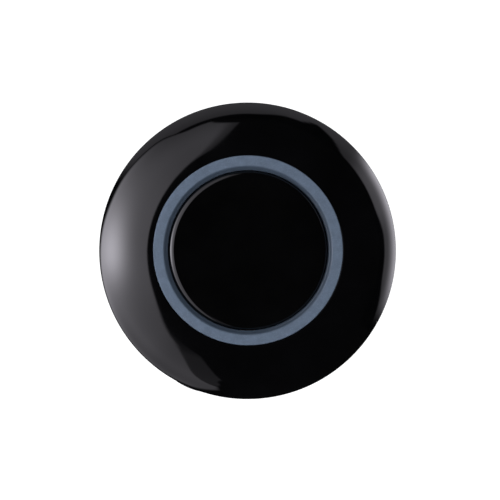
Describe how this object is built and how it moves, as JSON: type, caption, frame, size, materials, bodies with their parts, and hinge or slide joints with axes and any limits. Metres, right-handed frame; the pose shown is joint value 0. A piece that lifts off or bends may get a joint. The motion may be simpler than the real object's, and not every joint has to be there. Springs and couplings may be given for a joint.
{
  "type": "panel push button",
  "caption": "Flush push button with a wide domed glossy collar and a frosted light ring, a panel stem and a clip-on holder carrying contact and lamp blocks.",
  "frame": {"origin": "on the button's axis, in the plane where the collar and gasket meet the front of the panel", "axes": "+Z out of the panel towards the finger; +Y towards the panel notch and key; +X to the right seen from the front"},
  "size_m": [0.046, 0.046, 0.0526],
  "materials": {
    "collar_black": "glossy moulded black",
    "frosted_ring": "frosted blue-grey light diffuser, unlit",
    "clear_guide": "clear moulded light guide",
    "white_board": "white solder mask",
    "lamp_chip": "yellow phosphor domes",
    "chip_black": "black chip parts",
    "strip_brass": "plain brass spring strip",
    "stem_black": "fine satin moulded black",
    "gasket_rubber": "matt grey-black rubber",
    "seal_rubber": "soft matt rubber",
    "bright_steel": "bright steel",
    "spring_wire": "drawn spring wire",
    "cap_black": "glossy moulded black",
    "natural_plastic": "natural self-lubricating plastic",
    "zinc_screw": "zinc-plated steel",
    "holder_black": "matt moulded black",
    "lever_blue": "satin blue plastic",
    "housing_grey": "light grey satin plastic",
    "cover_grey": "light grey satin plastic",
    "plunger_green": "green plastic",
    "contact_brass": "contact brass with silver-alloy pads",
    "plunger_red": "red plastic",
    "housing_ivory": "ivory satin plastic",
    "board_green": "green solder mask"
  },
  "bodies": {
    "head": {"collar": "collar_black", "light_ring": "frosted_ring", "light_guide": "clear_guide", "led_board": "white_board", "led_chips": "lamp_chip", "board_resistors": "chip_black", "supply_strips": "strip_brass", "stem_body": "stem_black", "panel_gasket": "gasket_rubber", "diaphragm_seal": "seal_rubber", "seal_retainer": "bright_steel", "return_spring": "spring_wire"},
    "pusher": {"press_cap": "cap_black", "plunger": "natural_plastic", "pusher_foot": "natural_plastic", "foot_screw": "zinc_screw"},
    "holder": {"block_holder": "holder_black", "lever_pin": "bright_steel", "clamp_screws": "zinc_screw", "no_housing": "housing_grey", "no_cover": "cover_grey", "no_spring": "spring_wire", "no_contacts": "contact_brass", "no_terminal_screws": "zinc_screw", "no_wire_clamps": "zinc_screw", "no_marker": "plunger_green", "nc_housing": "housing_grey", "nc_cover": "cover_grey", "nc_spring": "spring_wire", "nc_contacts": "contact_brass", "nc_terminal_screws": "zinc_screw", "nc_wire_clamps": "zinc_screw", "nc_marker": "plunger_red", "lamp_housing": "housing_ivory", "lamp_cover": "housing_ivory", "lamp_board": "board_green", "lamp_components": "chip_black", "lamp_contacts": "contact_brass", "lamp_terminal_screws": "zinc_screw", "lamp_wire_clamps": "zinc_screw"},
    "latch": {"latch_lever": "lever_blue"},
    "no_actuator": {"no_plunger": "plunger_green", "no_bridge": "contact_brass"},
    "nc_actuator": {"nc_plunger": "plunger_red", "nc_bridge": "contact_brass"}
  },
  "joints": [
    {"name": "press", "type": "slide", "parent": "head", "child": "pusher", "axis": [0, 0, -1], "range_m": [0, 0.004], "stiffness_N_per_m": 600, "springref_m": -0.002, "deforming": ["return_spring", "diaphragm_seal"]},
    {"name": "holder_release", "type": "slide", "parent": "head", "child": "holder", "axis": [0, 0, -1], "range_m": [0, 0.03]},
    {"name": "latch_swing", "type": "hinge", "parent": "holder", "child": "latch", "pos_m": [0.0106, 0.0142, -0.0052], "axis": [0, 0, 1], "range_deg": [0, 40]},
    {"name": "no_travel", "type": "slide", "parent": "holder", "child": "no_actuator", "axis": [0, 0, -1], "range_m": [0, 0.004], "stiffness_N_per_m": 120, "springref_m": -0.002, "deforming": ["no_spring"]},
    {"name": "nc_travel", "type": "slide", "parent": "holder", "child": "nc_actuator", "axis": [0, 0, -1], "range_m": [0, 0.004], "stiffness_N_per_m": 120, "springref_m": -0.002, "deforming": ["nc_spring"]}
  ],
  "couplings": [
    {"joint": "no_travel", "follows": "press", "ratio": 1},
    {"joint": "nc_travel", "follows": "press", "ratio": 1}
  ]
}
